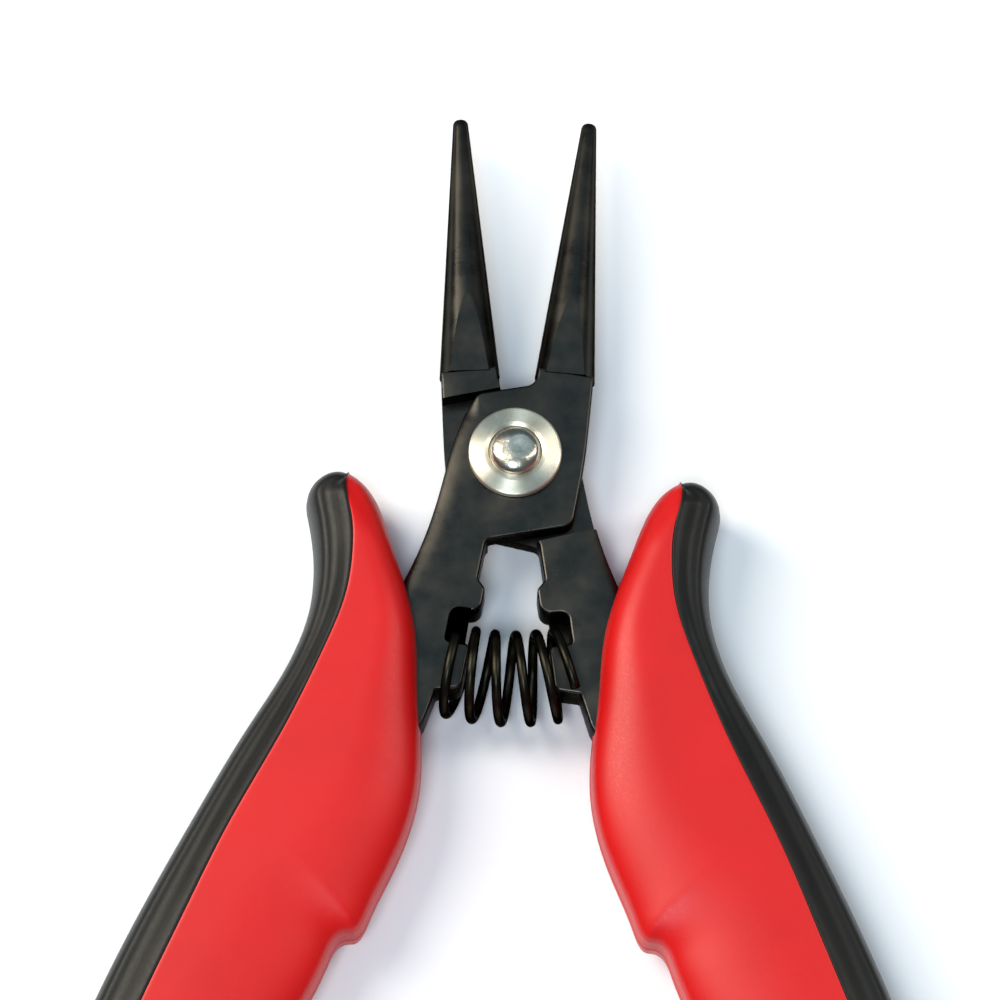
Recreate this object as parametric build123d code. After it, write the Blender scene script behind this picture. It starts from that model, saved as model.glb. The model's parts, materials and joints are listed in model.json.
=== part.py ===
"""Round-nose electrician's pliers: two lap-jointed steel halves on a riveted
pivot, a return spring between their tangs, and two-colour moulded grips.

Units are millimetres. Each steel half is drawn as it stands with the jaws shut,
about the pivot, jaw towards +Y on the +X side and tang towards -Y on the -X
side. The second half is the first one turned over about the Y axis. Both are
then swung open to the rest position and the whole tool is set down on Z = 0.
"""
import os
from math import atan2, cos, hypot, pi, radians, sin

from build123d import *

# Driving dimensions
HALF_OPENING = 9.0            # degrees that each half swings from shut to the open stop
PLATE = 4.3                   # full thickness of the steel halves
LAP_GAP = 0.04                # oil gap between the two lapped faces
EDGE_BREAK = 0.3              # ground bevel on the steel outline
NOSE_ROOT = (3.28, 9.1)       # centre of the nose cone where it leaves the plate
NOSE_ROOT_RADIUS = 2.96
NOSE_TIP = (0.76, 36.5)       # centre of the nose cone's end
NOSE_TIP_RADIUS = 0.72
NOSE_TIP_ROUNDING = 0.4
NOSE_FLAT_HEIGHT = 2.3        # half the distance between a nose's two flats, a little proud of the plate

RIVET_RADIUS = 2.0
RUNNING_GAP = 0.04            # radial play of the moving half on the rivet
DOME_RADIUS = 2.4             # peened end above the washer
DOME_HEIGHT = 1.0
HEAD_RADIUS = 4.2             # factory head under the rear half
HEAD_HEIGHT = 1.1
WASHER_RADIUS = 4.5
WASHER_THICKNESS = 0.9
WASHER_BEVEL = 0.2

WIRE_RADIUS = 0.47
COIL_RADIUS = 4.2             # to the middle of the wire
COIL_TURNS = 5.2
COIL_START = 0.15             # turns past the side nearest the pivot where the wire begins
COIL_DROP = 22.1              # spring axis below the pivot
SEAT_OFFSET = 2.97            # tang edge that the spring bears on, from the tool's axis
SEAT_GAP = 0.15               # keeps the end coils just off the tang edges at rest
POST_OFFSET = 0.72            # free end of each spring post, from the tool's axis

GRIP_THICKNESS = 11.0
GRIP_ROUNDING = 1.6
ANCHOR_HOLE_RADIUS = 1.5      # moulded plastic pins through the tang

# Steel outline, jaws shut, from the spring post round the hub to the nose
INNER_CORNERS = [
    (-3.60, -28.00), (-3.05, -24.75), (-POST_OFFSET, -24.10), (-POST_OFFSET, -19.70),
    (-SEAT_OFFSET, -19.70), (-SEAT_OFFSET, -16.50), (-0.32, -16.40), (-0.32, -13.95), (-1.20, -13.05),
    (-1.15, -9.10), (6.80, -6.12), (6.80, -3.20),
]
INNER_RADII = [0.3, 0.7, 0.5, 0.3, 0.8, 1.1, 0.5, 0.5, 0.8, 1.3]
JAW_SIDE = [(6.80, -3.20), (6.72, 1.30), (6.45, 5.00), (6.08, 9.30)]
UPPER_CORNERS = [(0.62, 9.30), (0.62, 7.48), (-4.75, 5.53), (-5.62, 3.00)]
UPPER_RADII = [1.2, 1.2]
TANG_OUTER = [
    (-5.62, 3.00), (-6.10, 0.00), (-6.40, -4.00), (-6.75, -8.00), (-7.60, -12.60),
    (-9.45, -19.00), (-11.75, -28.00), (-14.20, -38.00), (-17.00, -48.00),
    (-20.00, -58.00), (-22.40, -68.00), (-24.00, -79.00),
]
TANG_INNER = [
    (-19.60, -80.00), (-18.00, -68.00), (-15.10, -58.00), (-11.50, -48.00),
    (-8.40, -39.00), (-5.50, -32.50), (-3.60, -28.00),
]
ANCHOR_HOLES = [(-11.0, -38.0), (-17.6, -58.0)]

# Step walls between full and half thickness, as (x, y) pairs on each wall's line
JAW_STEP = [(0.55, 7.02), (9.00, 6.40)]
TANG_STEP = [(-9.00, -8.28), (3.00, -9.52)]

# Grip outline of the right handle, jaws shut
GRIP_OUTLINE = [
    (20.0, -106.5), (24.5, -108.0), (28.6, -104.5), (30.8, -96.0), (31.5, -85.0),
    (30.9, -73.0), (29.0, -62.0), (26.35, -51.4), (23.0, -40.5), (20.1, -31.9),
    (17.6, -25.0), (16.6, -19.0), (17.2, -13.8), (18.5, -9.9), (19.05, -8.0),
    (18.2, -5.85), (16.4, -4.85), (14.8, -5.05), (12.6, -6.65), (10.0, -10.85),
    (7.75, -15.05), (5.9, -19.4), (4.5, -25.5), (3.2, -31.0), (2.7, -35.0),
    (3.05, -39.6), (3.95, -44.3), (5.4, -48.1), (7.45, -50.95), (8.75, -55.0),
    (10.6, -60.5), (13.8, -69.0), (16.0, -79.0), (17.0, -90.0), (17.7, -100.0),
]
# Joint between the hard core and the soft band, from above the thumb stop down
COLOUR_LINE = [
    (15.0, -3.0), (15.4, -5.4), (15.1, -7.4), (14.0, -10.2), (13.3, -13.2),
    (13.0, -17.5), (13.9, -23.2), (16.1, -31.9), (19.3, -42.0), (21.6, -51.0),
    (24.2, -62.0), (26.0, -73.0), (26.7, -85.0), (26.2, -96.0), (24.6, -104.0),
    (23.6, -111.0),
]
BEYOND_GRIP = 45.0            # clear of the grip's outer side

FAR = 12.0                    # past the hub on every side
REACH = 240.0                 # past the whole half on every side


def slab(face, bottom, top):
    """The face extruded between two heights."""
    return extrude(Pos(0, 0, bottom) * face, top - bottom)


def steel_face():
    """Outline of one half: tang, spring post, U-shaped relief, hub and jaw root."""
    edges = [
        FilletPolyline(*INNER_CORNERS, radius=INNER_RADII),
        Spline(*JAW_SIDE, tangents=[(0, 1), (-0.1, 1)]),
        Line(JAW_SIDE[-1], UPPER_CORNERS[0]),
        FilletPolyline(*UPPER_CORNERS, radius=UPPER_RADII),
        Spline(*TANG_OUTER),
        Line(TANG_OUTER[-1], TANG_INNER[0]),
        Spline(*TANG_INNER),
    ]
    return make_face(edges)


def lap_recess():
    """The half of the plate's thickness that is milled away over the lap."""
    inner_x = UPPER_CORNERS[0][0]
    corners = [
        TANG_STEP[0], TANG_STEP[1], (FAR, TANG_STEP[1][1]), (FAR, JAW_STEP[1][1]),
        JAW_STEP[1], JAW_STEP[0], (JAW_STEP[0][0], 8.4), (inner_x - FAR, 8.4),
    ]
    return slab(make_face(Polyline(*corners, close=True)), -PLATE, LAP_GAP / 2)


def nose():
    """Smooth round tapered nose."""
    run_x = NOSE_TIP[0] - NOSE_ROOT[0]
    run_y = NOSE_TIP[1] - NOSE_ROOT[1]
    axis = Plane(origin=(*NOSE_ROOT, 0), x_dir=(0, 0, 1), z_dir=(run_x, run_y, 0))
    cone = Cone(
        NOSE_ROOT_RADIUS, NOSE_TIP_RADIUS, hypot(run_x, run_y),
        align=(Align.CENTER, Align.CENTER, Align.MIN),
    )
    return axis * fillet(cone.edges().sort_by(Axis.Z)[-1], NOSE_TIP_ROUNDING)


def steel_half(pivot_radius):
    """One complete half, lap underneath, with the given hole for the rivet."""
    plate = slab(steel_face(), -PLATE / 2, PLATE / 2)
    rims = plate.faces().filter_by(Axis.Z).edges()
    plate = chamfer(rims, EDGE_BREAK)
    body = plate + (nose() & Box(REACH, REACH, 2 * NOSE_FLAT_HEIGHT))
    body -= lap_recess()
    body -= Cylinder(pivot_radius, 2 * PLATE)
    for x, y in ANCHOR_HOLES:
        body -= Pos(x, y, 0) * Cylinder(ANCHOR_HOLE_RADIUS, 2 * PLATE)
    return body


def spin(profile):
    """The closed (radius, height) profile turned about the pivot axis."""
    face = make_face(Plane.XZ * Polyline(*profile, close=True))
    return revolve(face, Axis.Z)


def washer_top():
    return PLATE / 2 + LAP_GAP + WASHER_THICKNESS


def pivot_rivet():
    """Factory head below, plain shank, peened dome over the washer."""
    under = -PLATE / 2
    profile = [
        (0, under - HEAD_HEIGHT), (HEAD_RADIUS - 0.5, under - HEAD_HEIGHT),
        (HEAD_RADIUS, under - HEAD_HEIGHT + 0.4), (HEAD_RADIUS, under),
        (RIVET_RADIUS, under), (RIVET_RADIUS, washer_top()),
        (DOME_RADIUS, washer_top()), (DOME_RADIUS, washer_top() + 0.25),
        (DOME_RADIUS * 0.72, washer_top() + DOME_HEIGHT * 0.85),
        (DOME_RADIUS * 0.36, washer_top() + DOME_HEIGHT), (0, washer_top() + DOME_HEIGHT),
    ]
    return spin(profile)


def pivot_washer():
    """Turned disc that the rivet is peened over."""
    bottom = PLATE / 2 + LAP_GAP
    top = washer_top()
    profile = [
        (RIVET_RADIUS, bottom), (WASHER_RADIUS, bottom), (WASHER_RADIUS, top - WASHER_BEVEL),
        (WASHER_RADIUS - WASHER_BEVEL, top), (RIVET_RADIUS, top),
    ]
    return spin(profile)


def return_spring():
    """Coil whose axis bends about the pivot between the two tang edges."""
    half_angle = radians(HALF_OPENING) + atan2(SEAT_OFFSET, COIL_DROP)
    half_angle -= (WIRE_RADIUS + SEAT_GAP) / COIL_DROP
    steps_per_turn = 12
    count = round(COIL_TURNS * steps_per_turn)
    points = []
    for step in range(count + 1):
        share = step / count
        swing = half_angle * (2 * share - 1)
        phase = 2 * pi * (COIL_START + COIL_TURNS * share)
        reach = COIL_DROP - COIL_RADIUS * cos(phase)
        points.append((reach * sin(swing), -reach * cos(swing), COIL_RADIUS * sin(phase)))
    path = Spline(*points)
    return sweep(Plane(path @ 0, z_dir=path % 0) * Circle(WIRE_RADIUS), path, is_frenet=True)


def grip_block():
    """Whole right grip, before it is divided by colour."""
    outline = make_face(Spline(*GRIP_OUTLINE, periodic=True))
    block = slab(outline, -GRIP_THICKNESS / 2, GRIP_THICKNESS / 2)
    return fillet(block.faces().filter_by(Axis.Z).edges(), GRIP_ROUNDING)


def outer_side():
    """Everything on the outer side of the colour line."""
    line = Spline(*COLOUR_LINE)
    rest = Polyline(
        COLOUR_LINE[-1], (BEYOND_GRIP, COLOUR_LINE[-1][1]),
        (BEYOND_GRIP, COLOUR_LINE[0][1]), COLOUR_LINE[0],
    )
    return slab(make_face([line, rest]), -GRIP_THICKNESS, GRIP_THICKNESS)


def open_out(shape, turn):
    """Swings a shut half about the pivot to its rest position."""
    return Rot(0, 0, turn) * shape


front_half = steel_half(RIVET_RADIUS + RUNNING_GAP)
rear_half = Rot(0, 180, 0) * steel_half(RIVET_RADIUS)

block = grip_block()
band_side = outer_side()
right_band = block & band_side
right_core = block - band_side
left_band = mirror(right_band, Plane.YZ)
left_core = mirror(right_core, Plane.YZ) - front_half
right_core -= rear_half

parts = {
    "front_half": open_out(front_half, -HALF_OPENING),
    "left_grip_core": open_out(left_core, -HALF_OPENING),
    "left_grip_overmould": open_out(left_band, -HALF_OPENING),
    "rear_half": open_out(rear_half, HALF_OPENING),
    "right_grip_core": open_out(right_core, HALF_OPENING),
    "right_grip_overmould": open_out(right_band, HALF_OPENING),
    "pivot_rivet": pivot_rivet(),
    "pivot_washer": pivot_washer(),
    "return_spring": return_spring(),
}

# Set the tool down: origin under the middle of its box, grips resting on Z = 0
span = front_half.bounding_box()
for shape in parts.values():
    span = span.add(shape.bounding_box())
settle = Pos(-span.center().X, -span.center().Y, GRIP_THICKNESS / 2)

os.makedirs("parts", exist_ok=True)
for name, shape in parts.items():
    placed = settle * shape
    placed.label = name
    export_step(placed, f"parts/{name}.step")

print("pivot at", [round(v, 4) for v in settle.position])
print("size", [round(v, 3) for v in span.size])
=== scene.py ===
"""Round-nose pliers: the visual model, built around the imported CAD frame.

Outlines are in millimetres with the jaws shut and the pivot at (0, 0). They go
through the CAD part's points, apart from a crisper step in the grips' inner edge,
and run within about half a millimetre of its curves. Each piece is built there,
swung open by its half's angle and moved to the pivot's place in the frame.
"""
import json
from math import acos, asin, atan2, cos, hypot, pi, radians, sin, tan

import bmesh
import bpy
import numpy as np
from mathutils import Matrix, Vector
from mathutils.geometry import delaunay_2d_cdt


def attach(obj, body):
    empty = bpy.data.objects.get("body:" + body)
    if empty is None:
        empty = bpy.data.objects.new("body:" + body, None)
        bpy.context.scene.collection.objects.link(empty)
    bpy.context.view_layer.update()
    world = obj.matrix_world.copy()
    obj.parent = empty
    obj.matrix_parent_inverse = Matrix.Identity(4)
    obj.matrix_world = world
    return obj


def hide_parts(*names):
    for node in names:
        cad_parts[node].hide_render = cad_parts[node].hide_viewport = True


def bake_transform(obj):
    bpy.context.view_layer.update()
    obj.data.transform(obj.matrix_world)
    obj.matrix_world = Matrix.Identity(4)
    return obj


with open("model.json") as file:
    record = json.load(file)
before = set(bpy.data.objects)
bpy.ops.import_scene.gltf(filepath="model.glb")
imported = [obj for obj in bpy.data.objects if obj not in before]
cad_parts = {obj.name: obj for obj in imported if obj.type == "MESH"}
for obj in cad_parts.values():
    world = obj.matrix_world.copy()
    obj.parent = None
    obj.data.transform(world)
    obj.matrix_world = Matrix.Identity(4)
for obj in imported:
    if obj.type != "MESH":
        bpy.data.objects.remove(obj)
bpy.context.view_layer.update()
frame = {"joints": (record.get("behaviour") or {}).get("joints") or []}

MM = 0.001
PIVOT = Vector(frame["joints"][0]["pos_m"])
HALF_OPENING = 9.0
FRONT, REAR = "front_body", "rear_body"

# Steel
HALF_PLATE = 2.15
LAP_GAP = 0.04
EDGE_ROUNDING = 0.26
SHOULDER_WIDTH = 1.9          # broad rounding along the tang's outer side
SHOULDER_DROP = 0.55
SHOULDER_SIDE = (3.9, 5.6)    # comes in over these distances from the axis
SHOULDER_TOP = (3.0, 6.0)     # fades out over these heights above the pivot
SHOULDER_END = (-40.0, -30.0) # and again along the hidden part of the tang
OUTWARD = 0.3                 # least sideways share of a rim that counts as the outer side
INNER_CORNERS = [
    (-3.60, -28.00), (-3.05, -24.75), (-0.72, -24.10), (-0.72, -19.70),
    (-2.97, -19.70), (-2.97, -16.50), (-0.32, -16.40), (-0.32, -13.95), (-1.20, -13.05),
    (-1.15, -9.10), (6.80, -6.12), (6.80, -3.20),
]
INNER_RADII = [0.3, 0.7, 0.5, 0.3, 0.8, 1.1, 0.5, 0.5, 0.8, 1.3]
JAW_SIDE = [(6.80, -3.20), (6.72, 1.30), (6.45, 5.00), (6.08, 9.30)]
UPPER_CORNERS = [(0.62, 9.30), (0.62, 7.48), (-4.75, 5.53), (-5.62, 3.00)]
UPPER_RADII = [1.2, 1.2]
TANG_OUTER = [
    (-5.62, 3.00), (-6.10, 0.00), (-6.40, -4.00), (-6.75, -8.00), (-7.60, -12.60),
    (-9.45, -19.00), (-11.75, -28.00), (-14.20, -38.00), (-17.00, -48.00),
    (-20.00, -58.00), (-22.40, -68.00), (-24.00, -79.00),
]
TANG_INNER = [
    (-19.60, -80.00), (-18.00, -68.00), (-15.10, -58.00), (-11.50, -48.00),
    (-8.40, -39.00), (-5.50, -32.50), (-3.60, -28.00),
]
ANCHOR_HOLES = [(-11.0, -38.0), (-17.6, -58.0)]
ANCHOR_HOLE_RADIUS = 1.5
JAW_STEP = [(0.55, 7.02), (9.00, 6.40)]
TANG_STEP = [(-9.00, -8.28), (3.00, -9.52)]
NOSE_ROOT = (3.28, 9.1)
NOSE_ROOT_RADIUS = 2.96
NOSE_TIP = (0.76, 36.5)
NOSE_TIP_RADIUS = 0.72
NOSE_FLAT_HEIGHT = 2.3
NOSE_TIP_ROUNDING = 0.4

# Pivot
RIVET_RADIUS = 2.0
WASHER_RADIUS = 4.5
WASHER_BOTTOM = HALF_PLATE + LAP_GAP
WASHER_THICKNESS = 0.9
WASHER_TOP = WASHER_BOTTOM + WASHER_THICKNESS
DOME_RADIUS = 2.4
DOME_HEIGHT = 1.0
HEAD_RADIUS = 4.2
HEAD_HEIGHT = 1.1

# Spring
WIRE_RADIUS = 0.47
COIL_RADIUS = 4.2
COIL_TURNS = 5.2
COIL_START = 0.15             # turns past the side nearest the pivot where the wire begins
COIL_DROP = 22.1              # spring axis below the pivot
SEAT_OFFSET = 2.97
SEAT_GAP = 0.15
END_TURNS = 0.6               # at each end, held by the seat, so they take up no travel
TIGHTER_ENDS = 0.03           # how much closer the coils stand near the seats
WIRE_SIDES = 20
WIRE_STEPS = 48               # rows of the wire's mesh in a turn

# Grips
GRIP_HALF = 5.5
CORE_WALL = 2.3               # half height of the core's upright side
CORE_DRAFT = 0.15
FLASH = 0.05                  # how far the flash line stands out
BEAD_WIDTH = 1.5
BEAD_HEIGHT = 4.35
BAND_WALL = 4.0               # half height up to which the bead is part of the side
SHELF_HEIGHT = 5.35           # band beside the core
CORE_GROOVE = (0.06, 0.14)    # depth and width of the groove on each side of the seam
BAND_GROOVE = (0.10, 0.16)
MESH_STEP = 0.42
SEAM_ROWS = (0.10, 0.21, 0.45)    # rows of mesh points beside the seam, then inside the outline
EDGE_ROWS = (
    0.12, 0.26, 0.42, 0.60, 0.80, 1.02, 1.25, 1.48, 1.70, 1.93, 2.2, 2.55, 3.0, 3.6, 4.3, 5.2,
)
FINE_GAP, COARSE_GAP = 0.10, 0.24
COARSE_DEPTH = 2.4            # rows further in than this may stand wider apart
WALL_LEVELS = (0.05, 0.2, 0.4, 0.6, 0.8, 0.91, 0.97)    # shares of the side wall's half height
GRIP_OUTLINE = [
    (20.0, -106.5), (24.5, -108.0), (28.6, -104.5), (30.8, -96.0), (31.5, -85.0),
    (30.9, -73.0), (29.0, -62.0), (26.35, -51.4), (23.0, -40.5), (20.1, -31.9),
    (17.6, -25.0), (16.6, -19.0), (17.2, -13.8), (18.5, -9.9), (19.05, -8.0),
    (18.2, -5.85), (16.4, -4.85), (14.8, -5.05), (12.6, -6.65), (10.0, -10.85),
    (7.75, -15.05), (5.9, -19.4), (4.5, -25.5), (3.2, -31.0), (2.7, -35.0),
    (2.95, -39.0), (3.85, -43.1), (4.9, -47.2), (5.35, -48.9), (5.95, -49.65),
    (6.85, -49.9), (7.5, -50.6), (7.9, -52.0), (8.75, -55.5), (10.6, -60.7),
    (13.8, -69.0), (16.0, -79.0), (17.0, -90.0), (17.7, -100.0),
]
COLOUR_LINE = [
    (15.0, -3.0), (15.4, -5.4), (15.1, -7.4), (14.0, -10.2), (13.3, -13.2),
    (13.0, -17.5), (13.9, -23.2), (16.1, -31.9), (19.3, -42.0), (21.6, -51.0),
    (24.2, -62.0), (26.0, -73.0), (26.7, -85.0), (26.2, -96.0), (24.6, -104.0),
    (23.6, -111.0),
]

# The floor is a hair under the grips' flat faces, so they don't flicker through it
FLOOR_GAP = 0.02
FLOOR_HALF_SIDE = 1500.0


# ---------------------------------------------------------------- curves

def spline(points, spacing, closed=False):
    """Points evenly spaced along the smooth cubic curve through the given points."""
    knots = np.array(points, float)
    if closed:
        knots = np.vstack([knots, knots[:1]])
    gaps = np.linalg.norm(np.diff(knots, axis=0), axis=1)
    count = len(knots)
    matrix = np.zeros((count, count))
    right = np.zeros((count, 2))
    slopes = np.diff(knots, axis=0) / gaps[:, None]
    for i in range(1, count - 1):
        matrix[i, i - 1] = gaps[i - 1]
        matrix[i, i] = 2 * (gaps[i - 1] + gaps[i])
        matrix[i, i + 1] = gaps[i]
        right[i] = 6 * (slopes[i] - slopes[i - 1])
    if closed:
        matrix[0, 0] = 2 * (gaps[-1] + gaps[0])
        matrix[0, 1] = gaps[0]
        matrix[0, -2] = gaps[-1]
        right[0] = 6 * (slopes[0] - slopes[-1])
        matrix[-1, 0] = 1
        matrix[-1, -1] = -1
    else:
        matrix[0, 0] = 1
        matrix[-1, -1] = 1
    bend = np.linalg.solve(matrix, right)
    fine = []
    b = np.linspace(0, 1, 60, endpoint=False)[:, None]
    a = 1 - b
    for i in range(count - 1):
        curve = a * knots[i] + b * knots[i + 1]
        curve = curve + ((a ** 3 - a) * bend[i] + (b ** 3 - b) * bend[i + 1]) * gaps[i] ** 2 / 6
        fine.append(curve)
    fine.append(knots[-1:])
    return resample(np.vstack(fine), spacing)


def resample(path, spacing):
    """The path with points at even distances, both ends kept."""
    steps = np.linalg.norm(np.diff(path, axis=0), axis=1)
    at = np.concatenate([[0], np.cumsum(steps)])
    count = max(2, int(round(at[-1] / spacing)) + 1)
    wanted = np.linspace(0, at[-1], count)
    return np.column_stack([np.interp(wanted, at, path[:, k]) for k in range(path.shape[1])])


def rounded_path(corners, radii, spacing):
    """Straight runs joined by tangent arcs, with a radius for each inner corner."""
    corners = [Vector(c) for c in corners]
    runs = [corners[0]]
    for i, radius in enumerate(radii, start=1):
        back = (corners[i - 1] - corners[i]).normalized()
        ahead = (corners[i + 1] - corners[i]).normalized()
        half = acos(max(-1, min(1, back.dot(ahead)))) / 2
        reach = radius / tan(half)
        middle = corners[i] + (back + ahead).normalized() * (radius / sin(half))
        first = corners[i] + back * reach - middle
        last = corners[i] + ahead * reach - middle
        turn = first.angle_signed(last)
        pieces = max(4, int(abs(turn) * radius / spacing) + 1)
        for k in range(pieces + 1):
            runs.append(middle + Matrix.Rotation(-turn * k / pieces, 2) @ first)
    runs.append(corners[-1])
    dense = [np.array(runs[0])]
    for a, b in zip(runs, runs[1:]):
        pieces = max(1, int((b - a).length / spacing))
        for k in range(1, pieces + 1):
            dense.append(np.array(a.lerp(b, k / pieces)))
    return np.array(dense)


def joined(*paths):
    """One closed loop from paths that meet end to end."""
    return np.vstack([path[:-1] for path in paths])


def inward_normals(loop):
    """Mitred inward normals of a counter-clockwise loop."""
    ahead = np.roll(loop, -1, axis=0) - loop
    ahead /= np.linalg.norm(ahead, axis=1)[:, None]
    normal = np.column_stack([-ahead[:, 1], ahead[:, 0]])
    before = np.roll(normal, 1, axis=0)
    both = normal + before
    return both / (1 + np.sum(normal * before, axis=1))[:, None]


def distance_to(points, path, closed=False):
    """Distance from each point to the nearest part of the path."""
    start = path
    end = np.roll(path, -1, axis=0)
    if not closed:
        start, end = path[:-1], path[1:]
    run = end - start
    length2 = np.maximum(np.sum(run * run, axis=1), 1e-12)
    best = np.empty(len(points))
    batch = 400
    for lo in range(0, len(points), batch):
        part = points[lo:lo + batch, None, :] - start[None]
        share = np.clip(np.sum(part * run[None], axis=2) / length2, 0, 1)
        gap = part - share[:, :, None] * run[None]
        best[lo:lo + batch] = np.sqrt(np.min(np.sum(gap * gap, axis=2), axis=1))
    return best


def inside(points, loop):
    """True for each point within the closed loop."""
    x, y = points[:, 0][:, None], points[:, 1][:, None]
    ax, ay = loop[:, 0][None], loop[:, 1][None]
    bx, by = np.roll(loop[:, 0], -1)[None], np.roll(loop[:, 1], -1)[None]
    rise = np.where(by == ay, 1e-12, by - ay)
    cross = ((ay > y) != (by > y)) & (x < (bx - ax) * (y - ay) / rise + ax)
    return np.sum(cross, axis=1) % 2 == 1


def ease(value, low, high):
    """0 below low, 1 above high, smooth between."""
    share = np.clip((value - low) / (high - low), 0, 1)
    return share * share * (3 - 2 * share)


# ---------------------------------------------------------------- meshes

def placement(turn, flip=False):
    """From the shut drawing in millimetres to the frame in metres."""
    matrix = Matrix.Translation(PIVOT) @ Matrix.Rotation(radians(turn), 4, "Z")
    if flip:
        matrix = matrix @ Matrix.Rotation(pi, 4, "Y")
    return matrix @ Matrix.Scale(MM, 4)


FRONT_PLACE = placement(-HALF_OPENING)
REAR_PLACE = placement(HALF_OPENING, flip=True)
PIVOT_PLACE = placement(0)


def shade_smooth(mesh):
    """Rounded shading on every face."""
    for face in mesh.polygons:
        face.use_smooth = True


def make_piece(name, bm, place, materials, origin=None):
    """A shown object from a bmesh in drawing units, with its own origin if one is given."""
    bmesh.ops.recalc_face_normals(bm, faces=bm.faces)
    mesh = bpy.data.meshes.new(name)
    bm.to_mesh(mesh)
    bm.free()
    mesh.transform(place)
    if place.determinant() < 0:
        mesh.flip_normals()
    shade_smooth(mesh)
    piece = bpy.data.objects.new(name, mesh)
    bpy.context.scene.collection.objects.link(piece)
    if origin is not None:
        mesh.transform(Matrix.Translation(-origin))
        piece.location = origin
    for material in materials:
        mesh.materials.append(material)
    return piece


def bridge(bm, low, high, closed=True):
    """Quads between two rows of vertices."""
    count = len(low)
    for i in range(count if closed else count - 1):
        j = (i + 1) % count
        bm.faces.new((low[i], low[j], high[j], high[i]))


def ring(bm, points):
    """A row of new vertices at the points."""
    return [bm.verts.new(p) for p in points]


def crease_by_angle(piece, angle):
    """Keeps edges sharper than the angle crisp."""
    bm = bmesh.new()
    bm.from_mesh(piece.data)
    for edge in bm.edges:
        if len(edge.link_faces) == 2 and edge.calc_face_angle(0) > radians(angle):
            edge.smooth = False
    bm.to_mesh(piece.data)
    bm.free()


def lathe(profile, segments):
    """A solid turned from (radius, height) points: closed by poles on the axis, or as a ring."""
    turn = [2 * pi * k / segments for k in range(segments)]
    bm = bmesh.new()
    rows = []
    for radius, height in profile:
        if radius == 0:
            rows.append([bm.verts.new((0, 0, height))])
        else:
            rows.append(ring(bm, [(radius * cos(a), radius * sin(a), height) for a in turn]))
    pairs = list(zip(rows, rows[1:]))
    if profile[0][0] > 0:
        pairs.append((rows[-1], rows[0]))
    for low, high in pairs:
        if len(low) == 1:
            for i in range(segments):
                bm.faces.new((low[0], high[i], high[(i + 1) % segments]))
        elif len(high) == 1:
            for i in range(segments):
                bm.faces.new((low[i], low[(i + 1) % segments], high[0]))
        else:
            bridge(bm, low, high)
    return bm


def cut(piece, bm, operation="DIFFERENCE"):
    """Boolean of the piece's mesh with another solid, both in drawing units.

    What a union adds gets the piece's second material.
    """
    bmesh.ops.recalc_face_normals(bm, faces=bm.faces)
    tool_mesh = bpy.data.meshes.new("tool")
    bm.to_mesh(tool_mesh)
    bm.free()
    tool = bpy.data.objects.new("tool", tool_mesh)
    bpy.context.scene.collection.objects.link(tool)
    if operation == "UNION":
        for face in tool_mesh.polygons:
            face.material_index = 1
        for slot in piece.data.materials:
            tool_mesh.materials.append(slot)
    modifier = piece.modifiers.new("cut", "BOOLEAN")
    modifier.operation = operation
    modifier.solver = "EXACT"
    modifier.object = tool
    bpy.context.view_layer.update()
    graph = bpy.context.evaluated_depsgraph_get()
    result = bpy.data.meshes.new_from_object(piece.evaluated_get(graph))
    piece.modifiers.clear()
    old = piece.data
    piece.data = result
    bpy.data.meshes.remove(old)
    bpy.data.objects.remove(tool)
    bpy.data.meshes.remove(tool_mesh)


# ---------------------------------------------------------------- steel halves

def thin_by_corners(loop, reach):
    """Drops the points just beside each sharp corner.

    An inset by less than the reach then can't cross itself.
    """
    back = loop - np.roll(loop, 1, axis=0)
    ahead = np.roll(loop, -1, axis=0) - loop
    turn = np.arctan2(ahead[:, 1], ahead[:, 0]) - np.arctan2(back[:, 1], back[:, 0])
    sharp = np.abs((turn + pi) % (2 * pi) - pi) > radians(35)
    gap = np.min(np.linalg.norm(loop[:, None] - loop[sharp][None], axis=2), axis=1)
    return loop[sharp | (gap > reach)]


def steel_loop():
    """Outline of one half, counter-clockwise."""
    loop = joined(
        rounded_path(INNER_CORNERS, INNER_RADII, 0.22),
        spline(JAW_SIDE, 0.4),
        np.array([JAW_SIDE[-1], UPPER_CORNERS[0]]),
        rounded_path(UPPER_CORNERS, UPPER_RADII, 0.25),
        spline(TANG_OUTER, 0.6),
        np.array([TANG_OUTER[-1], TANG_INNER[0]]),
        spline(TANG_INNER, 0.8),
    )
    return thin_by_corners(loop, 0.5)


def plate_solid():
    """The plate with rounded rims: broad and shallow along the tang's outer side, fine elsewhere."""
    loop = steel_loop()
    inward = inward_normals(loop)
    outer_side = ease(-loop[:, 0], *SHOULDER_SIDE) * (1 - ease(loop[:, 1], *SHOULDER_TOP))
    outer_side *= ease(loop[:, 1], *SHOULDER_END) * (inward[:, 0] > OUTWARD)
    width = EDGE_ROUNDING + (SHOULDER_WIDTH - EDGE_ROUNDING) * outer_side
    drop = EDGE_ROUNDING + (SHOULDER_DROP - EDGE_ROUNDING) * outer_side
    bm = bmesh.new()
    rows = []
    arc = [radians(a) for a in range(0, 91, 15)]
    for side in (-1, 1):
        for a in arc if side > 0 else reversed(arc):
            flat = loop + inward * (width * (1 - cos(a)))[:, None]
            height = side * (HALF_PLATE - drop * (1 - sin(a)))
            rows.append(ring(bm, [(x, y, z) for (x, y), z in zip(flat, height)]))
    for low, high in zip(rows, rows[1:]):
        bridge(bm, low, high)
    caps = [bm.faces.new(rows[-1]), bm.faces.new(list(reversed(rows[0])))]
    bmesh.ops.triangulate(bm, faces=caps)
    return bm


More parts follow.
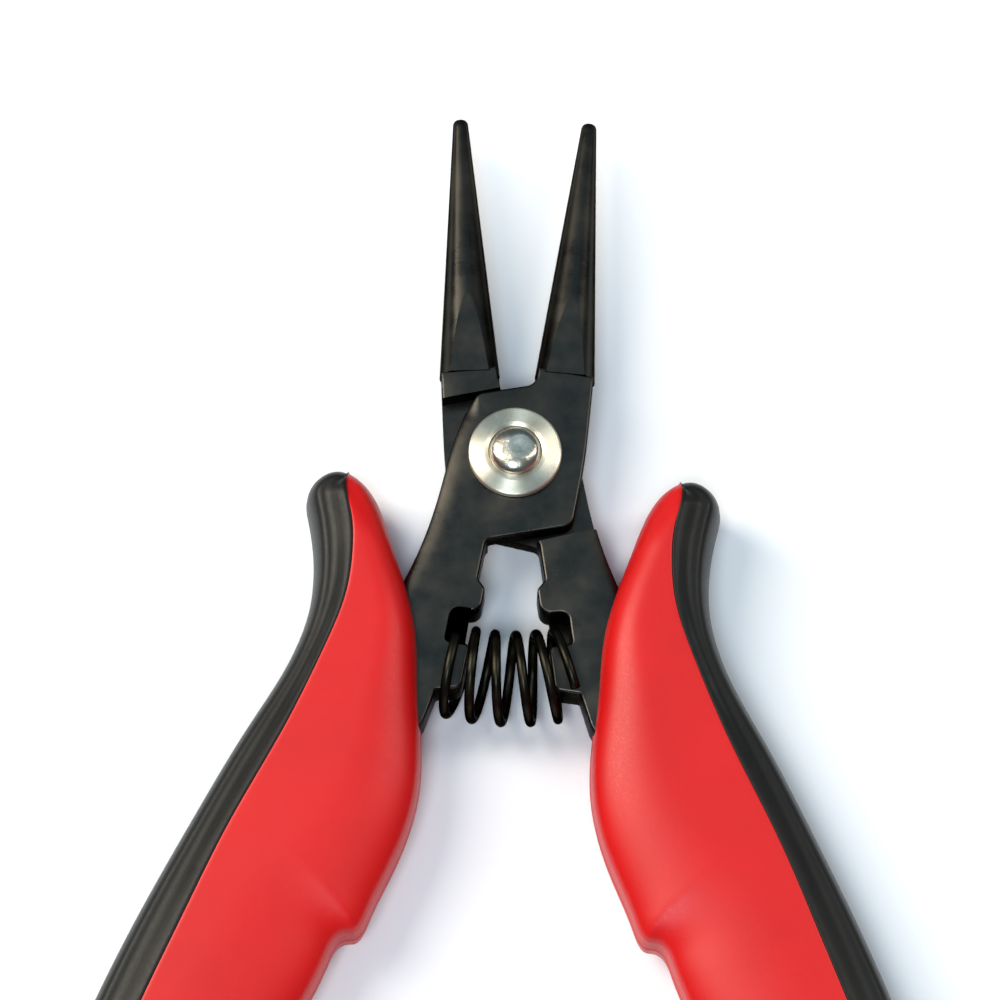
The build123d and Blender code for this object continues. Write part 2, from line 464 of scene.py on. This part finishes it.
def prism(corners, low, high):
    """An upright solid over the corners, between two heights."""
    bm = bmesh.new()
    bottom = ring(bm, [(x, y, low) for x, y in corners])
    top = ring(bm, [(x, y, high) for x, y in corners])
    bridge(bm, bottom, top)
    bm.faces.new(top)
    bm.faces.new(list(reversed(bottom)))
    return bm


def lap_recess():
    """The half of the thickness that is milled away between the two steps of the lap."""
    far = 12.0
    above_hub = 8.4
    inner_x = UPPER_CORNERS[0][0]
    corners = [
        TANG_STEP[0], TANG_STEP[1], (far, TANG_STEP[1][1]), (far, JAW_STEP[1][1]),
        JAW_STEP[1], JAW_STEP[0], (JAW_STEP[0][0], above_hub), (inner_x - far, above_hub),
    ]
    return prism(corners, -2 * HALF_PLATE, LAP_GAP / 2)


def peg(x, y, radius):
    """A round tool for a hole right through the plate."""
    turn = [2 * pi * k / 64 for k in range(64)]
    corners = [(x + radius * cos(a), y + radius * sin(a)) for a in turn]
    return prism(corners, -2 * HALF_PLATE, 2 * HALF_PLATE)


def nose_solid():
    """Tapered round nose with two flats that run out towards the tip."""
    root, tip = Vector(NOSE_ROOT), Vector(NOSE_TIP)
    length = (tip - root).length
    along = (tip - root) / length
    across = Vector((along.y, -along.x))
    cone_length = length - NOSE_TIP_ROUNDING
    taper = (NOSE_TIP_RADIUS - NOSE_ROOT_RADIUS) / length
    stations = []
    for k in range(61):
        distance = cone_length * k / 60
        stations.append((distance, NOSE_ROOT_RADIUS + taper * distance))
    for k in range(1, 8):
        a = pi / 2 * k / 7
        radius = NOSE_TIP_RADIUS - NOSE_TIP_ROUNDING * (1 - cos(a))
        stations.append((cone_length + NOSE_TIP_ROUNDING * sin(a), radius))
    bm = bmesh.new()
    rows = []
    sides, top = 22, 12
    steepest = radians(87)
    for distance, radius in stations:
        corner = min(asin(min(1, NOSE_FLAT_HEIGHT / radius)), steepest)
        angles = [corner * (2 * k / sides - 1) for k in range(sides)]
        angles += [corner + (pi - 2 * corner) * k / top for k in range(top)]
        angles += [pi + corner * (2 * k / sides - 1) for k in range(sides)]
        angles += [pi + corner + (pi - 2 * corner) * k / top for k in range(top)]
        points = []
        for angle in angles:
            flat = root + along * distance + across * (radius * cos(angle))
            height = max(-NOSE_FLAT_HEIGHT, min(NOSE_FLAT_HEIGHT, radius * sin(angle)))
            points.append((flat.x, flat.y, height))
        rows.append(ring(bm, points))
    for low, high in zip(rows, rows[1:]):
        bridge(bm, low, high)
    bm.faces.new(rows[-1])
    bm.faces.new(list(reversed(rows[0])))
    return bm


def steel_half(name, node, body, place, materials):
    """One half: plate, milled lap, pivot hole, anchor holes and nose as a single solid."""
    piece = make_piece(name, plate_solid(), Matrix.Identity(4), materials)
    cut(piece, lap_recess())
    cut(piece, peg(0, 0, RIVET_RADIUS + LAP_GAP))
    for x, y in ANCHOR_HOLES:
        cut(piece, peg(x, y, ANCHOR_HOLE_RADIUS))
    cut(piece, nose_solid(), "UNION")
    piece.data.transform(place)
    shade_smooth(piece.data)
    crease_by_angle(piece, 24)
    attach(piece, body)
    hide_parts(node)
    return piece


# ---------------------------------------------------------------- pivot

def pivot_washer(material):
    """Turned disc: rolled rim, shallow dished face and an inner chamfer to the rivet."""
    bore = RIVET_RADIUS + 0.02
    bevel = 0.15
    rim_width, rim_drop = 0.24, 0.245
    dish, face_drop = 0.10, 0.015
    turning, ripple = 31, 0.0012
    outer_face, inner_face = WASHER_RADIUS - rim_width, 3.05
    rim_top = WASHER_TOP - face_drop - dish
    profile = [(bore, WASHER_BOTTOM), (WASHER_RADIUS - bevel, WASHER_BOTTOM)]
    profile += [(WASHER_RADIUS, WASHER_BOTTOM + bevel), (WASHER_RADIUS, rim_top - rim_drop)]
    for k in range(1, 7):
        a = pi / 2 * k / 6
        profile.append((WASHER_RADIUS - rim_width * (1 - cos(a)), rim_top - rim_drop * (1 - sin(a))))
    for k in range(1, 31):
        radius = outer_face + (inner_face - outer_face) * k / 30
        profile.append((radius, rim_top + dish * k / 30 + ripple * sin(turning * radius)))
    for radius, drop in ((2.84, 0.02), (2.74, 0.07), (2.60, 0.11), (2.50, 0.34), (bore, 0.36)):
        profile.append((radius, WASHER_TOP - drop))
    piece = make_piece("pivot_washer_turned", lathe(profile, 160), PIVOT_PLACE, [material], PIVOT)
    crease_by_angle(piece, 40)
    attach(piece, REAR)
    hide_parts("pivot_washer")


def pivot_rivet(material):
    """Peened rivet: uneven hammered dome on top, low round factory head below."""
    under = -HALF_PLATE
    head_flat, head_round, head_side = 1.6, 0.95, 0.25
    shank = RIVET_RADIUS - 0.03
    neck = DOME_RADIUS - 0.16
    dome_side = 0.05
    profile = [(0, under - HEAD_HEIGHT), (head_flat, under - HEAD_HEIGHT)]
    for k in range(9):
        a = pi / 2 * k / 8
        radius = HEAD_RADIUS - head_round * (1 - sin(a))
        profile.append((radius, under - head_side - (HEAD_HEIGHT - head_side) * cos(a)))
    profile += [(HEAD_RADIUS, under), (shank, under)]
    for radius, drop in ((shank, 0.30), (neck, 0.28), (DOME_RADIUS, 0.10)):
        profile.append((radius, WASHER_TOP - drop))
    for k in range(25):
        a = pi / 2 * k / 25
        height = WASHER_TOP + dome_side + (DOME_HEIGHT - dome_side) * sin(a) ** 0.9
        profile.append((DOME_RADIUS * cos(a) ** 0.85, height))
    profile.append((0, WASHER_TOP + DOME_HEIGHT))
    bm = lathe(profile, 96)
    dents = [(0.75, 0.30, 1.4, 0.16), (-0.9, -0.2, 1.3, 0.07)]    # place, reach and depth
    for vert in bm.verts:
        if vert.co.z < WASHER_TOP:
            continue
        share = (vert.co.z - WASHER_TOP) / DOME_HEIGHT
        for x, y, reach, depth in dents:
            gap = hypot(vert.co.x - x, vert.co.y - y) / reach
            vert.co.z -= depth * max(0, 1 - gap * gap) ** 2 * share
    piece = make_piece("pivot_rivet_peened", bm, PIVOT_PLACE, [material], PIVOT)
    crease_by_angle(piece, 50)
    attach(piece, REAR)
    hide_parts("pivot_rivet")


# ---------------------------------------------------------------- spring

def coil_point(share):
    """Centre of the wire, with the jaws open, from the rear seat (0) to the front one (1)."""
    half_angle = radians(HALF_OPENING) + atan2(SEAT_OFFSET, COIL_DROP)
    half_angle -= (WIRE_RADIUS + SEAT_GAP) / COIL_DROP
    phase = 2 * pi * (COIL_START + COIL_TURNS * (1 - share))
    even = 1 - 2 * share
    swing = half_angle * (even + TIGHTER_ENDS * sin(pi * even))
    reach = COIL_DROP - COIL_RADIUS * cos(phase)
    return Vector((reach * sin(swing), -reach * cos(swing), COIL_RADIUS * sin(phase)))


def wire_tube(centres, directions):
    """A closed round wire along the centres."""
    turn = [2 * pi * k / WIRE_SIDES for k in range(WIRE_SIDES)]
    bm = bmesh.new()
    rows = []
    for centre, direction in zip(centres, directions):
        side = direction.cross(Vector((0, 0, 1)))
        if side.length < 0.05:
            side = Vector((1, 0, 0))
        side.normalize()
        other = direction.cross(side).normalized()
        arms = [(WIRE_RADIUS * cos(a), WIRE_RADIUS * sin(a)) for a in turn]
        rows.append(ring(bm, [centre + side * u + other * v for u, v in arms]))
    for low, high in zip(rows, rows[1:]):
        bridge(bm, low, high)
    bm.faces.new(rows[-1])
    bm.faces.new(list(reversed(rows[0])))
    return bm


def travel_share(turns):
    """Share of the hinge's turn taken up at a number of turns from the rear seat."""
    return min(1.0, max(0.0, (turns - END_TURNS) / (COIL_TURNS - 2 * END_TURNS)))


def spring_piece(name, low, high, material):
    """The wire between two numbers of turns from the rear seat: held by a seat's body if it lies within
    that seat's end turns, else left fixed in the frame.
    """
    steps = max(3, round((high - low) * WIRE_STEPS))
    shares = [(low + (high - low) * k / steps) / COIL_TURNS for k in range(steps + 1)]
    centres = [coil_point(s) for s in shares]
    directions = [(coil_point(s + 0.001) - coil_point(s - 0.001)).normalized() for s in shares]
    piece = make_piece(name, wire_tube(centres, directions), PIVOT_PLACE, [material])
    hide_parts("return_spring")
    share_low, share_high = travel_share(low), travel_share(high)
    if share_high <= 0:
        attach(piece, REAR)
        return
    if share_low >= 1:
        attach(piece, FRONT)
        return
    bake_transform(piece)


def return_spring(material):
    """The coil, made of half turns.

    The half turns within the end turns go with their seats' bodies; the ones between stay
    fixed in the frame. Past about
    11 degrees of travel the middle turns run into each other.
    """
    first = (COIL_START + COIL_TURNS) % 0.5
    halves = int((COIL_TURNS - first) / 0.5) + 1
    bounds = [0.0, *(first + 0.5 * k for k in range(halves)), COIL_TURNS]
    for index, (low, high) in enumerate(zip(bounds, bounds[1:]), start=1):
        spring_piece(f"return_spring_{index:02d}", low, high, material)


# ---------------------------------------------------------------- grips

def crown_reach(y):
    """How far in the core's face goes on rising: 3 mm by the thumb stop, 10.6 mm far below."""
    return 3.0 + 7.6 * ease(-y, 14.0, 52.0)


def core_gap(height):
    """Draft of the core's side wall at a height, behind its flash line."""
    return FLASH + CORE_DRAFT * height / CORE_WALL


def band_gap(height):
    """Draft of the band's outer wall at a height: its edge is a half-round bead."""
    return FLASH + BEAD_WIDTH * (1 - np.sqrt(1 - (np.minimum(height, BAND_WALL) / BEAD_HEIGHT) ** 2))


def bead_height(gap):
    """Half thickness of the half-round bead at a distance in from the edge."""
    return BEAD_HEIGHT * np.sqrt(1 - (1 - np.clip((gap - FLASH) / BEAD_WIDTH, 0, 1)) ** 2)


def core_crown(inner_gap, y):
    """Half thickness of the core at a distance in from the inner edge of the grip.

    By the thumb stop it is no higher than a bead like the band's.
    """
    start = FLASH + CORE_DRAFT
    share = np.clip((inner_gap - start) / (crown_reach(y) - start), 0, 1)
    crown = CORE_WALL + (GRIP_HALF - CORE_WALL) * np.sqrt(1 - (1 - share) ** 2)
    rounded = bead_height(inner_gap) + (SHELF_HEIGHT - BEAD_HEIGHT) * ease(inner_gap, 0.9, 3.6)
    by_stop = ease(y, -12.0, -7.0)
    return crown + (np.minimum(crown, rounded) - crown) * by_stop


def crossing(loop, line):
    """Where the colour line enters and leaves the outline: loop index, line index, point."""
    found = []
    flags = inside(line, loop)
    for i in range(len(line) - 1):
        if flags[i] == flags[i + 1]:
            continue
        low, high = line[i], line[i + 1]
        for _ in range(40):
            middle = (low + high) / 2
            if inside(middle[None], loop)[0] == flags[i]:
                low = middle
            else:
                high = middle
        point = (low + high) / 2
        nearest = int(np.argmin(np.linalg.norm(loop - point, axis=1)))
        found.append((nearest, i, point))
    return found


def grip_regions():
    """The grip's outline and seam, its outer and inner sides, and the loops of band and core.

    Each of the two loops comes with flags that say which of its points are on the outline.
    """
    loop = spline(GRIP_OUTLINE, MESH_STEP, closed=True)[:-1]
    line = spline(COLOUR_LINE, MESH_STEP)
    (top_at, line_top, top), (end_at, line_end, end) = crossing(loop, line)
    seam = np.vstack([top, line[line_top + 1:line_end + 1], end])
    count = len(loop)
    outer = [loop[(end_at + k) % count] for k in range(1, (top_at - end_at) % count)]
    inner = [loop[(top_at + k) % count] for k in range(1, (end_at - top_at) % count)]
    band = np.vstack([outer, seam])
    band_flags = [True] * len(outer) + [False] * len(seam)
    core = np.vstack([inner, seam[::-1]])
    core_flags = [True] * len(inner) + [False] * len(seam)
    sides = (np.array(outer), np.array(inner))
    return loop, seam, sides, (band, np.array(band_flags)), (core, np.array(core_flags))


def band_surface(seam_gap, outer_gap, inner_gap, y):
    """Half thickness of the band: a bead along its outer edge, then a slope up to the core."""
    beyond = np.maximum(outer_gap - BEAD_WIDTH, 0)
    share = beyond / np.maximum(beyond + seam_gap, 1e-6)
    slope = (SHELF_HEIGHT - BEAD_HEIGHT) * ease(share, 0.15, 0.95)
    depth, width = BAND_GROOVE
    groove = depth * (1 - ease(seam_gap, 0.0, width))
    return np.minimum(bead_height(outer_gap) + slope - groove, core_crown(inner_gap, y) + 0.3)


def core_surface(seam_gap, outer_gap, inner_gap, y):
    """Half thickness of the core: its crown, with a fine groove beside the band."""
    depth, width = CORE_GROOVE
    return core_crown(inner_gap, y) - depth * (1 - ease(seam_gap, 0.0, width))


def thin_out(batches):
    """Keeps points of each (points, spacing) batch that aren't crowded by earlier ones."""
    cell = 0.5
    kept, grid = [], {}
    for points, spacing in batches:
        for x, y in points:
            key = (int(x // cell), int(y // cell))
            crowded = False
            for i in (-1, 0, 1):
                for j in (-1, 0, 1):
                    for other in grid.get((key[0] + i, key[1] + j), ()):
                        if hypot(other[0] - x, other[1] - y) < spacing:
                            crowded = True
            if not crowded:
                grid.setdefault(key, []).append((x, y))
                kept.append((x, y))
    return kept


def grip_points(border, rim, on_outline, loop, seam, clear):
    """Points over a region: rows that follow its edges, then a loose grid."""
    outline_inward = inward_normals(loop)
    batches = [(rim, 0.0)]
    for depth in SEAM_ROWS:
        offset = (border + inward_normals(border) * depth)[~on_outline]
        good = distance_to(offset, seam) > depth - 0.01
        good &= distance_to(offset, loop, True) > clear + 0.10
        batches.append((offset[good & inside(offset, rim)], 0.09))
    for depth in EDGE_ROWS:
        offset = loop + outline_inward * depth
        good = distance_to(offset, loop, True) > depth - 0.01
        good &= inside(offset, rim)
        good &= distance_to(offset, seam) > 0.09
        batches.append((offset[good], FINE_GAP if depth < COARSE_DEPTH else COARSE_GAP))
    step = 0.46
    low, high = border.min(0), border.max(0)
    xs, ys = np.meshgrid(np.arange(low[0], high[0], step), np.arange(low[1], high[1], step))
    odd_row = np.arange(xs.size) // xs.shape[1] % 2
    grid = np.column_stack([xs.ravel() + step / 2 * odd_row, ys.ravel()])
    grid = grid[inside(grid, rim)]
    grid = grid[distance_to(grid, loop, True) > 0.9]
    grid = grid[distance_to(grid, seam) > 0.3]
    batches.append((grid, 0.34))
    return thin_out(batches)


def grip_piece(name, node, body, place, material, region, loop, seam, sides, surface, draft, wall):
    """A closed moulding over its 2D region, the same on both faces, with a flash line at mid height."""
    border, on_outline = region
    nearest = np.array([np.argmin(np.linalg.norm(loop - p, axis=1)) for p in border])
    push = inward_normals(loop)[nearest]
    changes = np.where(on_outline != np.roll(on_outline, 1))[0]
    moved = on_outline.copy()
    moved[changes] = True
    moved[changes - 1] = True
    shift = draft(np.full(len(border), wall))
    rim = border + push * (shift * moved)[:, None]

    points = grip_points(border, rim, on_outline, loop, seam, shift.max())
    count = len(border)
    edges = [(i, (i + 1) % count) for i in range(count)]
    verts, _, faces, _, _, _ = delaunay_2d_cdt([Vector(p) for p in points], edges, [], 1, 1e-5)
    flat = np.array([tuple(v) for v in verts])
    outer, inner = sides
    gaps = [distance_to(flat, line) for line in (seam, outer, inner)]
    height = surface(*gaps, flat[:, 1])

    bm = bmesh.new()
    top = ring(bm, [(x, y, z) for (x, y), z in zip(flat, height)])
    bottom = ring(bm, [(x, y, -z) for (x, y), z in zip(flat, height)])
    for face in faces:
        bm.faces.new([top[i] for i in face])
        bm.faces.new([bottom[i] for i in reversed(face)])
    rows = [bottom[:count]]
    for share in (*(-level for level in reversed(WALL_LEVELS)), 0.0, *WALL_LEVELS):
        level = height[:count] * share
        back = draft(np.minimum(np.abs(level), wall)) - (FLASH if share == 0 else 0.0)
        flat_row = border + push * (back * moved)[:, None]
        rows.append(ring(bm, [(x, y, z) for (x, y), z in zip(flat_row, level)]))
    rows.append(top[:count])
    for a, b in zip(rows, rows[1:]):
        bridge(bm, a, b)
    piece = make_piece(name, bm, place, [material])
    crease_by_angle(piece, 55)
    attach(piece, body)
    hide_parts(node)
    return piece


# ---------------------------------------------------------------- materials

class Look:
    """A node material in the making: textures fed to its principled shader.

    Texture scales are per metre and bump depths are in metres.
    """

    def __init__(self, name, **values):
        """Uniform values go on the shader's own sockets."""
        self.material = bpy.data.materials.new(name)
        self.material.use_nodes = True
        self.nodes = self.material.node_tree.nodes
        self.links = self.material.node_tree.links
        self.shader = self.nodes["Principled BSDF"]
        for key, value in values.items():
            self.shader.inputs[key.replace("_", " ")].default_value = value

    def feed(self, socket, output):
        """Joins a texture's output to one of the shader's sockets."""
        self.links.new(output, self.shader.inputs[socket])

    def coords(self, scale=(1, 1, 1), turn=0.0):
        """Object coordinates, turned about Z and stretched."""
        coords = self.nodes.new("ShaderNodeTexCoord")
        mapping = self.nodes.new("ShaderNodeMapping")
        mapping.inputs["Rotation"].default_value = (0, 0, turn)
        mapping.inputs["Scale"].default_value = scale
        self.links.new(coords.outputs["Object"], mapping.inputs["Vector"])
        return mapping.outputs["Vector"]

    def noise(self, vector, scale, detail=3.0, rough=0.5):
        """Soft random values from 0 to 1."""
        node = self.nodes.new("ShaderNodeTexNoise")
        node.inputs["Scale"].default_value = scale
        node.inputs["Detail"].default_value = detail
        node.inputs["Roughness"].default_value = rough
        self.links.new(vector, node.inputs["Vector"])
        return node.outputs["Fac"]

    def rings(self, vector, scale):
        """Lathe lines round Z."""
        wave = self.nodes.new("ShaderNodeTexWave")
        wave.wave_type = "RINGS"
        wave.rings_direction = "Z"
        wave.inputs["Scale"].default_value = scale
        wave.inputs["Distortion"].default_value = 0.6
        wave.inputs["Detail"].default_value = 2.0
        self.links.new(vector, wave.inputs["Vector"])
        return wave.outputs["Fac"]

    def turned_tangent(self):
        """Runs the shader's brushed highlight round Z."""
        tangent = self.nodes.new("ShaderNodeTangent")
        tangent.direction_type = "RADIAL"
        tangent.axis = "Z"
        self.feed("Tangent", tangent.outputs["Tangent"])

    def levels(self, value, low, high, start, end):
        """Maps low..high to start..end."""
        node = self.nodes.new("ShaderNodeMapRange")
        for key, number in (("From Min", low), ("From Max", high), ("To Min", start), ("To Max", end)):
            node.inputs[key].default_value = number
        self.links.new(value, node.inputs["Value"])
        return node.outputs["Result"]

    def colours(self, value, low, high, start, end):
        """Maps low..high to the colours from start to end."""
        node = self.nodes.new("ShaderNodeValToRGB")
        for element, position, colour in zip(node.color_ramp.elements, (low, high), (start, end)):
            element.position = position
            element.color = (*colour, 1)
        self.links.new(value, node.inputs["Fac"])
        return node.outputs["Color"]

    def bump(self, height, strength, depth, onto=None):
        """A normal from a height, on top of another one if it is given."""
        node = self.nodes.new("ShaderNodeBump")
        node.inputs["Strength"].default_value = strength
        node.inputs["Distance"].default_value = depth
        self.links.new(height, node.inputs["Height"])
        if onto is not None:
            self.links.new(onto, node.inputs["Normal"])
        return node.outputs["Normal"]


def black_steel(name, nose_turn=None):
    """Black oxide over fine grinding; a nose gets rings round its own axis."""
    look = Look(name, Metallic=1.0, Specular_Tint=(0.3, 0.3, 0.3, 1))
    plain = look.coords()
    blotch = look.noise(plain, 260.0, 4.0, 0.6)
    fine = look.noise(plain, 2600.0, 2.0)
    dark, light = (0.038, 0.037, 0.034), (0.060, 0.056, 0.048)
    look.feed("Base Color", look.colours(blotch, 0.30, 0.72, dark, light))
    if nose_turn is None:
        lines = look.noise(look.coords((1, 14, 1), 0.5), 900.0, 3.0)
        depth = 0.0000045
    else:
        lines = look.noise(look.coords((0.06, 1, 0.06), nose_turn), 2600.0, 3.0)
        depth = 0.000008
    look.feed("Roughness", look.levels(blotch, 0.35, 0.70, 0.25, 0.38))
    grain = look.bump(fine, 0.35, 0.000006)
    look.feed("Normal", look.bump(lines, 0.6, depth, grain))
    return look.material


def stained_nickel(look, vector, relief, light, dark, roughness):
    """The stains and fine grain that the two plated pieces share, over a relief for look.bump."""
    stain = look.noise(vector, 420.0, 4.0, 0.6)
    look.feed("Base Color", look.colours(stain, 0.38, 0.68, light, dark))
    look.feed("Roughness", look.levels(stain, 0.3, 0.8, roughness, roughness + 0.12))
    grain = look.bump(look.noise(vector, 5200.0, 2.0), 0.35, 0.000006)
    look.feed("Normal", look.bump(*relief, grain))
    return look.material


def turned_nickel():
    """Bright plating with lathe lines round the pivot axis."""
    look = Look("turned_nickel", Metallic=1.0, Anisotropic=0.85, Anisotropic_Rotation=0.25)
    vector = look.coords()
    look.turned_tangent()
    lines = (look.rings(vector, 1500.0), 0.5, 0.000009)
    return stained_nickel(look, vector, lines, (0.80, 0.74, 0.60), (0.55, 0.49, 0.38), 0.33)


def plated_rivet():
    """Plating over hammer marks."""
    look = Look("plated_rivet", Metallic=1.0)
    vector = look.coords()
    marks = (look.noise(vector, 1100.0, 4.0), 0.9, 0.00006)
    return stained_nickel(look, vector, marks, (0.66, 0.62, 0.52), (0.30, 0.27, 0.21), 0.20)


def spring_wire():
    """Oil-blackened wire."""
    look = Look("oiled_spring_wire", Metallic=1.0, Specular_Tint=(0.2, 0.2, 0.2, 1))
    vector = look.coords()
    stain = look.noise(vector, 500.0, 3.0)
    dark, light = (0.013, 0.013, 0.010), (0.030, 0.028, 0.020)
    look.feed("Base Color", look.colours(stain, 0.3, 0.7, dark, light))
    look.feed("Roughness", look.levels(stain, 0.3, 0.7, 0.28, 0.42))
    look.feed("Normal", look.bump(look.noise(vector, 3000.0), 0.3, 0.000004))
    return look.material


def red_plastic():
    """Hard moulded plastic with a fine grain and a faint wave."""
    look = Look("red_hard_plastic", Metallic=0.0, Specular_IOR_Level=0.38)
    vector = look.coords()
    cloud = look.noise(vector, 90.0, 3.0)
    speck = look.noise(vector, 5200.0, 1.0)
    dark, light = (0.53, 0.0030, 0.0034), (0.60, 0.0044, 0.0046)
    look.feed("Base Color", look.colours(cloud, 0.30, 0.72, dark, light))
    look.feed("Roughness", look.levels(speck, 0.45, 0.75, 0.44, 0.34))
    grain = look.bump(speck, 0.25, 0.00001)
    look.feed("Normal", look.bump(look.noise(vector, 700.0, 2.0), 0.15, 0.00003, grain))
    return look.material


def soft_black():
    """Soft moulded band, nearly matte."""
    look = Look("black_soft_grip", Metallic=0.0, Specular_IOR_Level=0.24)
    vector = look.coords()
    cloud = look.noise(vector, 240.0, 4.0, 0.6)
    grain = look.noise(vector, 4200.0, 2.0)
    dark, light = (0.0050, 0.0050, 0.0044), (0.0095, 0.0092, 0.0080)
    look.feed("Base Color", look.colours(cloud, 0.3, 0.75, dark, light))
    look.feed("Roughness", look.levels(grain, 0.3, 0.7, 0.36, 0.46))
    look.feed("Normal", look.bump(grain, 0.4, 0.00002))
    return look.material


def floor_white():
    """The pale floor under the tool."""
    look = Look("pale_floor", Metallic=0.0, Roughness=0.75)
    cloud = look.noise(look.coords(), 6.0, 2.0)
    look.feed("Base Color", look.colours(cloud, 0.3, 0.7, (0.84, 0.86, 0.90), (0.87, 0.89, 0.92)))
    return look.material


# ---------------------------------------------------------------- camera, light, floor

def add_camera():
    """The viewing angle: 19 degrees off straight down, from the handle side, with a slight roll."""
    tilt, roll, reach = radians(18.9), radians(1.77), 0.400
    camera = bpy.data.cameras.new("camera")
    camera.sensor_width = 36.0
    camera.lens = 148.3
    camera.clip_start = 0.01
    camera.clip_end = 10.0
    seen = bpy.data.objects.new("camera", camera)
    bpy.context.scene.collection.objects.link(seen)
    target = PIVOT + Vector((-1.32, -4.05, 0)) * MM
    back = Vector((0, -sin(tilt), cos(tilt)))
    turn = Matrix.Rotation(tilt, 4, "X") @ Matrix.Rotation(roll, 4, "Z")
    seen.matrix_world = Matrix.Translation(target + back * reach) @ turn
    bpy.context.scene.camera = seen


def add_panel(name, place, size, power, colour):
    """A soft box that faces the frame's origin, under the tool's middle."""
    light = bpy.data.lights.new(name, "AREA")
    light.shape = "RECTANGLE"
    light.size, light.size_y = size
    light.energy = power
    light.color = colour
    panel = bpy.data.objects.new(name, light)
    panel.location = place
    panel.rotation_euler = (-Vector(place)).to_track_quat("-Z", "Y").to_euler()
    bpy.context.scene.collection.objects.link(panel)


def add_studio():
    """Four soft boxes, a dim blue sky and the white floor."""
    add_panel("left_box", (-0.43, 0.17, 0.50), (0.28, 0.52), 5.0, (1.0, 0.91, 0.78))
    add_panel("right_box", (0.44, 0.17, 0.50), (0.18, 0.46), 1.3, (1.0, 0.95, 0.88))
    add_panel("window", (-0.08, -0.34, 0.85), (0.26, 0.26), 4.2, (0.80, 0.92, 1.0))
    add_panel("ceiling", (0.0, 0.34, 0.90), (0.80, 0.60), 0.85, (0.55, 0.82, 1.0))
    world = bpy.data.worlds.new("studio")
    world.use_nodes = True
    background = world.node_tree.nodes["Background"]
    background.inputs["Color"].default_value = (0.60, 0.80, 1.0, 1)
    background.inputs["Strength"].default_value = 0.15
    bpy.context.scene.world = world
    bm = bmesh.new()
    bmesh.ops.create_grid(bm, x_segments=8, y_segments=8, size=FLOOR_HALF_SIDE * MM)
    mesh = bpy.data.meshes.new("floor")
    bm.to_mesh(mesh)
    bm.free()
    mesh.materials.append(floor_white())
    floor = bpy.data.objects.new("floor", mesh)
    bpy.context.scene.collection.objects.link(floor)
    floor.location.z = -FLOOR_GAP * MM
    bpy.context.scene.view_settings.view_transform = "Standard"


# ---------------------------------------------------------------- assembly

add_camera()
add_studio()

plate_steel = black_steel("black_oxide_plate")
nose_lean = atan2(NOSE_TIP[0] - NOSE_ROOT[0], NOSE_TIP[1] - NOSE_ROOT[1])
front_nose = black_steel("ground_nose_front", radians(HALF_OPENING) + nose_lean)
rear_nose = black_steel("ground_nose_rear", -radians(HALF_OPENING) - nose_lean)
steel_half("front_half_steel", "front_half", FRONT, FRONT_PLACE, [plate_steel, front_nose])
steel_half("rear_half_steel", "rear_half", REAR, REAR_PLACE, [plate_steel, rear_nose])

pivot_washer(turned_nickel())
pivot_rivet(plated_rivet())
return_spring(spring_wire())

red, black = red_plastic(), soft_black()
loop, seam, sides, band_region, core_region = grip_regions()
RIGHT_PLACE = placement(HALF_OPENING)
LEFT_PLACE = placement(-HALF_OPENING) @ Matrix.Scale(-1, 4, (1, 0, 0))
for side, body, place in (("left", FRONT, LEFT_PLACE), ("right", REAR, RIGHT_PLACE)):
    grip_piece(
        f"{side}_grip_core_moulded", f"{side}_grip_core", body, place, red,
        core_region, loop, seam, sides, core_surface, core_gap, CORE_WALL,
    )
    grip_piece(
        f"{side}_grip_band_moulded", f"{side}_grip_overmould", body, place, black,
        band_region, loop, seam, sides, band_surface, band_gap, BAND_WALL,
    )
